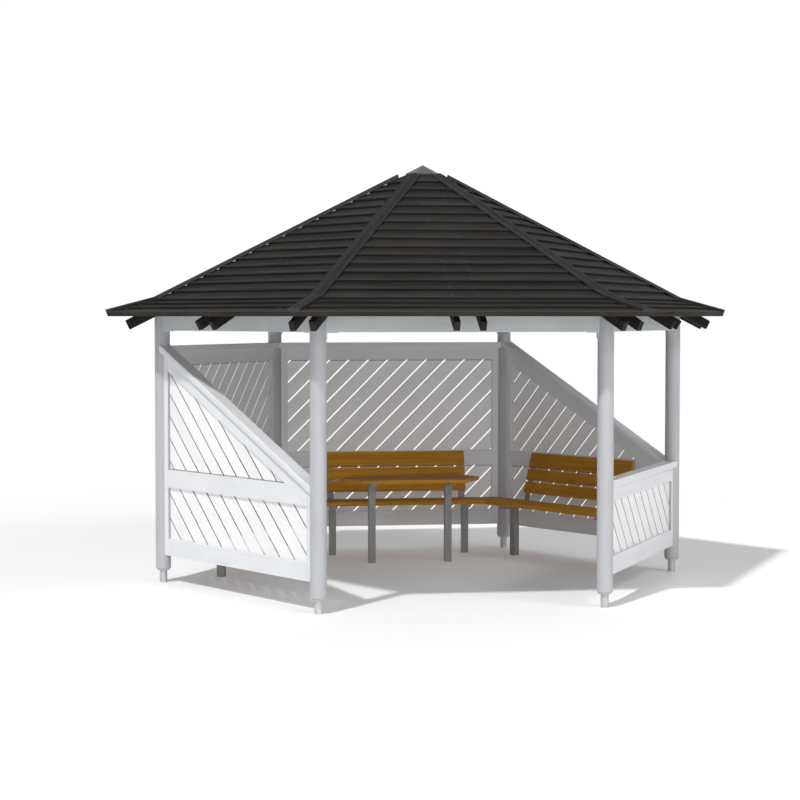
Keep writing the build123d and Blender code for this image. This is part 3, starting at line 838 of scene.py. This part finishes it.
def screw_head(name, radius, height):
    """A flat head on the origin, pointing up."""
    bpy.ops.object.select_all(action="DESELECT")
    bpy.ops.mesh.primitive_cylinder_add(vertices=10, radius=radius, depth=height)
    head = bpy.context.active_object
    head.name = name
    bpy.ops.object.mode_set(mode="EDIT")
    bpy.ops.mesh.select_all(action="DESELECT")
    bpy.ops.object.mode_set(mode="OBJECT")
    for face in head.data.polygons:
        face.select = face.normal.z > 0.9
    bpy.ops.object.mode_set(mode="EDIT")
    bpy.ops.mesh.inset(thickness=radius * RING)
    bpy.ops.transform.translate(value=(0, 0, height * RAISE))
    bpy.ops.mesh.inset(thickness=radius * RING)
    bpy.ops.transform.translate(value=(0, 0, -height * SINK))
    bpy.ops.object.mode_set(mode="OBJECT")
    return head


steel_screw = screw_head("screw_head", 0.0055, 0.002)
roof_nail = screw_head("nail_head", 0.0045, 0.0016)
print("a head has", len(steel_screw.data.polygons), "faces")

# %% Set heads in place
def set_heads(name, head, spots, material, slot):
    """Copies a head to many spots, each a point and the direction that it faces."""
    heads = []
    for point, facing in spots:
        double = bpy.data.objects.new(name, head.data.copy())
        bpy.context.scene.collection.objects.link(double)
        turn = Vector(facing).to_track_quat("Z", "Y").to_matrix().to_4x4()
        double.matrix_world = Matrix.Translation(point) @ turn
        heads.append(double)
    whole = join(name, heads)
    bpy.ops.object.transform_apply(location=True, rotation=True, scale=True)
    put(whole, material, slot)


def on_side(azimuth, distance, along, height):
    """A point from its distance outwards, its place along a side and its height."""
    turn = Matrix.Rotation(math.radians(azimuth), 3, "Z")
    return turn @ Vector((distance, along, height))


# %% Screws in the seats
PROUD = 0.0002  # how far the middle of a head lies above the wood
SEAT_TOP, SEAT_FRONT, SEAT_STEP = 0.485, 1.3454, 0.108  # height, first board, board to board
SEAT_BOARDS, SEAT_SCREWS = 3, (0.022, 0.077)  # screws from the front edge of their board
FRAME_HALF = 0.598  # from the middle of a bench to each of its frames
UPWARDS = (0, 0, 1)
screw_spots = []
for azimuth, shift in BENCHES.values():
    for hand in (-1, 1):
        for board in range(SEAT_BOARDS):
            for place in SEAT_SCREWS:
                distance = SEAT_FRONT + board * SEAT_STEP + place
                point = on_side(azimuth, distance, hand * FRAME_HALF + shift, SEAT_TOP + PROUD)
                screw_spots.append((point, UPWARDS))
print(len(screw_spots), "screws in the seats")

# %% Screws in the table, over its legs
LEG_HALF = 0.03  # half the thickness of a table leg
TABLE_STEP = 0.1146  # from one table board to the next
TABLE_BOARDS = range(-2, 3)  # counted from the middle one
TABLE_SCREWS = (-0.03, 0.03)  # from the middle of their board
TABLE_REACH = 0.2  # no screw lies further from the middle of the table
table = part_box("table_top")
table_middle = (table[0] + table[1]) / 2
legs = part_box("table_frames")
for x in (legs[0].x + LEG_HALF, legs[1].x - LEG_HALF):
    for board in TABLE_BOARDS:
        for place in TABLE_SCREWS:
            y = table_middle.y + board * TABLE_STEP + place
            if abs(y - table_middle.y) < TABLE_REACH:
                screw_spots.append(((x, y, table[1].z + PROUD), UPWARDS))
print(len(screw_spots), "screws with the table's")

# %% Screws in the backrests
BACK_SCREWS = (-0.27, 0.27)  # from the middle of a board, as shares of its width
for bench in BENCHES:
    backrest = bpy.data.objects["eased_bench_back_" + bench].data
    place = np.array([vertex.co for vertex in backrest.vertices])
    number = boards_of(backrest)
    for board in sorted(set(number.tolist())):
        points = place[number == board]
        middle, (along, across, through) = middle_and_axes(points)
        through = through if through[2] > 0 else -through
        face = np.ptp(points @ through) / 2 + PROUD
        for hand in (-1, 1):
            for side in BACK_SCREWS:
                shift = along * hand * FRAME_HALF + across * side * np.ptp(points @ across)
                screw_spots.append((Vector(middle + shift + through * face), Vector(through)))
print(len(screw_spots), "screws in all")
set_heads("board_screws", steel_screw, screw_spots, frame_coat, "frame_steel")

# %% Nails in the roof
MID_RAFTER = 0.095  # from the middle of a face to a rafter
NAIL_UP = 0.028  # from the lower end of a board up to its nails
NAIL_TOP = 0.0295  # square above the rafters
HIP_CLEAR = 0.08  # no nail comes nearer to a hip
nail_spots = []
for azimuth in SIDES.values():
    for start, pitch, count, length, stagger in (
        (apex, PITCH, MAIN_BOARDS, main_length, STAGGER),
        (knee, EAVE_PITCH, FLARE_BOARDS, FLARE, 0),
    ):
        for number in range(2, count + 1):
            down = lower_end(number, count, length, stagger) - NAIL_UP
            out = start.x + down * math.cos(pitch) + NAIL_TOP * math.sin(pitch)
            height = start.z - down * math.sin(pitch) + NAIL_TOP * math.cos(pitch)
            facing = on_side(azimuth, math.sin(pitch), 0, math.cos(pitch))
            for along in (-MID_RAFTER, MID_RAFTER):
                if out * math.tan(HIP) > abs(along) + HIP_CLEAR:
                    nail_spots.append((on_side(azimuth, out, along, height), facing))
print(len(nail_spots), "nails")
set_heads("roof_nails", roof_nail, nail_spots, cap_coat, "cap_metal")
for master in (steel_screw, roof_nail):
    bpy.data.objects.remove(master)

# %% [markdown]
# ## Floor and light
# The gazebo stands on a plain pale floor under an even sky. A key lamp high on the left front
# casts the shadows, a wide and a square lamp on the right soften them, and an even fill without
# shadows reaches under the roof. To the camera, part of the floor's light is plain white, so
# that the shadow stays pale, and far out the floor fades into the white background.

# %% Floor
FLOOR_RADIUS = 40
FLOOR_WHITE = 0.11  # share of plain white near the gazebo
FADE_START, FADE_END = 4.8, 9.0  # metres out between which the share rises to the whole
bpy.ops.object.select_all(action="DESELECT")
bpy.ops.mesh.primitive_circle_add(
    vertices=96, radius=FLOOR_RADIUS, fill_type="NGON", location=(0, 0, 0)
)
floor = bpy.context.active_object
floor.name = "floor"
floor_material, tree, main = shader("pale_floor")
tree.nodes.remove(main)
output = tree.nodes["Material Output"]
ground = node(tree, "BsdfDiffuse", Color=(0.97, 0.97, 0.98, 1)).outputs[0]
white = node(tree, "Emission", Color=(1, 1, 1, 1), Strength=1.0).outputs[0]
ray = node(tree, "LightPath").outputs["Is Camera Ray"]
spot = node(tree, "NewGeometry").outputs["Position"]
distance = node(tree, "VectorMath", {"operation": "LENGTH"}, Vector=spot).outputs["Value"]
share = spread(tree, distance, FADE_START, FADE_END, FLOOR_WHITE, 1.0)
share = maths(tree, "MULTIPLY", ray, share)
mix = node(tree, "MixShader", i0=share, i1=ground, i2=white).outputs[0]
tree.links.new(mix, output.inputs["Surface"])
floor.data.materials.append(floor_material)
print("floor", FLOOR_RADIUS, "m out, white from", FADE_END, "m")

# %% Lamps
AIM = Vector((0, 0, 1))  # all lamps look here


def lamp(name, kind, power, place, size=None, angle=None):
    """A lamp. With neither a size nor an angle it casts no shadow."""
    data = bpy.data.lights.new(name, kind)
    data.energy = power
    if size:
        data.size = size
    elif angle:
        data.angle = math.radians(angle)
    else:
        data.use_shadow = False
    made_lamp = bpy.data.objects.new(name, data)
    made_lamp.location = place
    made_lamp.rotation_euler = (AIM - Vector(place)).to_track_quat("-Z", "Y").to_euler()
    bpy.context.scene.collection.objects.link(made_lamp)


lamp("key", "SUN", 2.1, (-6.3, -7.9, 14.6), angle=3)
lamp("side", "AREA", 380, (10.0, -10.0, 12.0), size=3.0)
lamp("wide", "SUN", 0.75, (6.0, -14.0, 6.0), angle=50)
lamp("fill", "SUN", 0.36, (-2.0, -13.0, 6.0))
print(len(bpy.data.lights), "lamps")

# %% Sky
SKY = 0.32  # how strongly the sky lights the pieces; the camera sees it white
world = bpy.data.worlds.new("studio")
bpy.context.scene.world = world
world.use_nodes = True
tree = world.node_tree
backdrop = tree.nodes["Background"]
rays = node(tree, "LightPath").outputs
seen = maths(tree, "MAXIMUM", rays["Is Camera Ray"], rays["Is Glossy Ray"])
seen = maths(tree, "MAXIMUM", seen, rays["Is Transmission Ray"])
tree.links.new(spread(tree, seen, 0.0, 1.0, SKY, 1.0), backdrop.inputs["Strength"])
backdrop.inputs["Color"].default_value = (1, 1, 1, 1)
bpy.context.scene.view_settings.view_transform = "Standard"
print("sky", SKY, "of its white")

# %% [markdown]
# ## Count the pieces
# The number of finished pieces and of their faces is printed.

# %% Count the pieces
print(len(made), "pieces,", sum(len(piece.data.polygons) for piece in made), "faces")
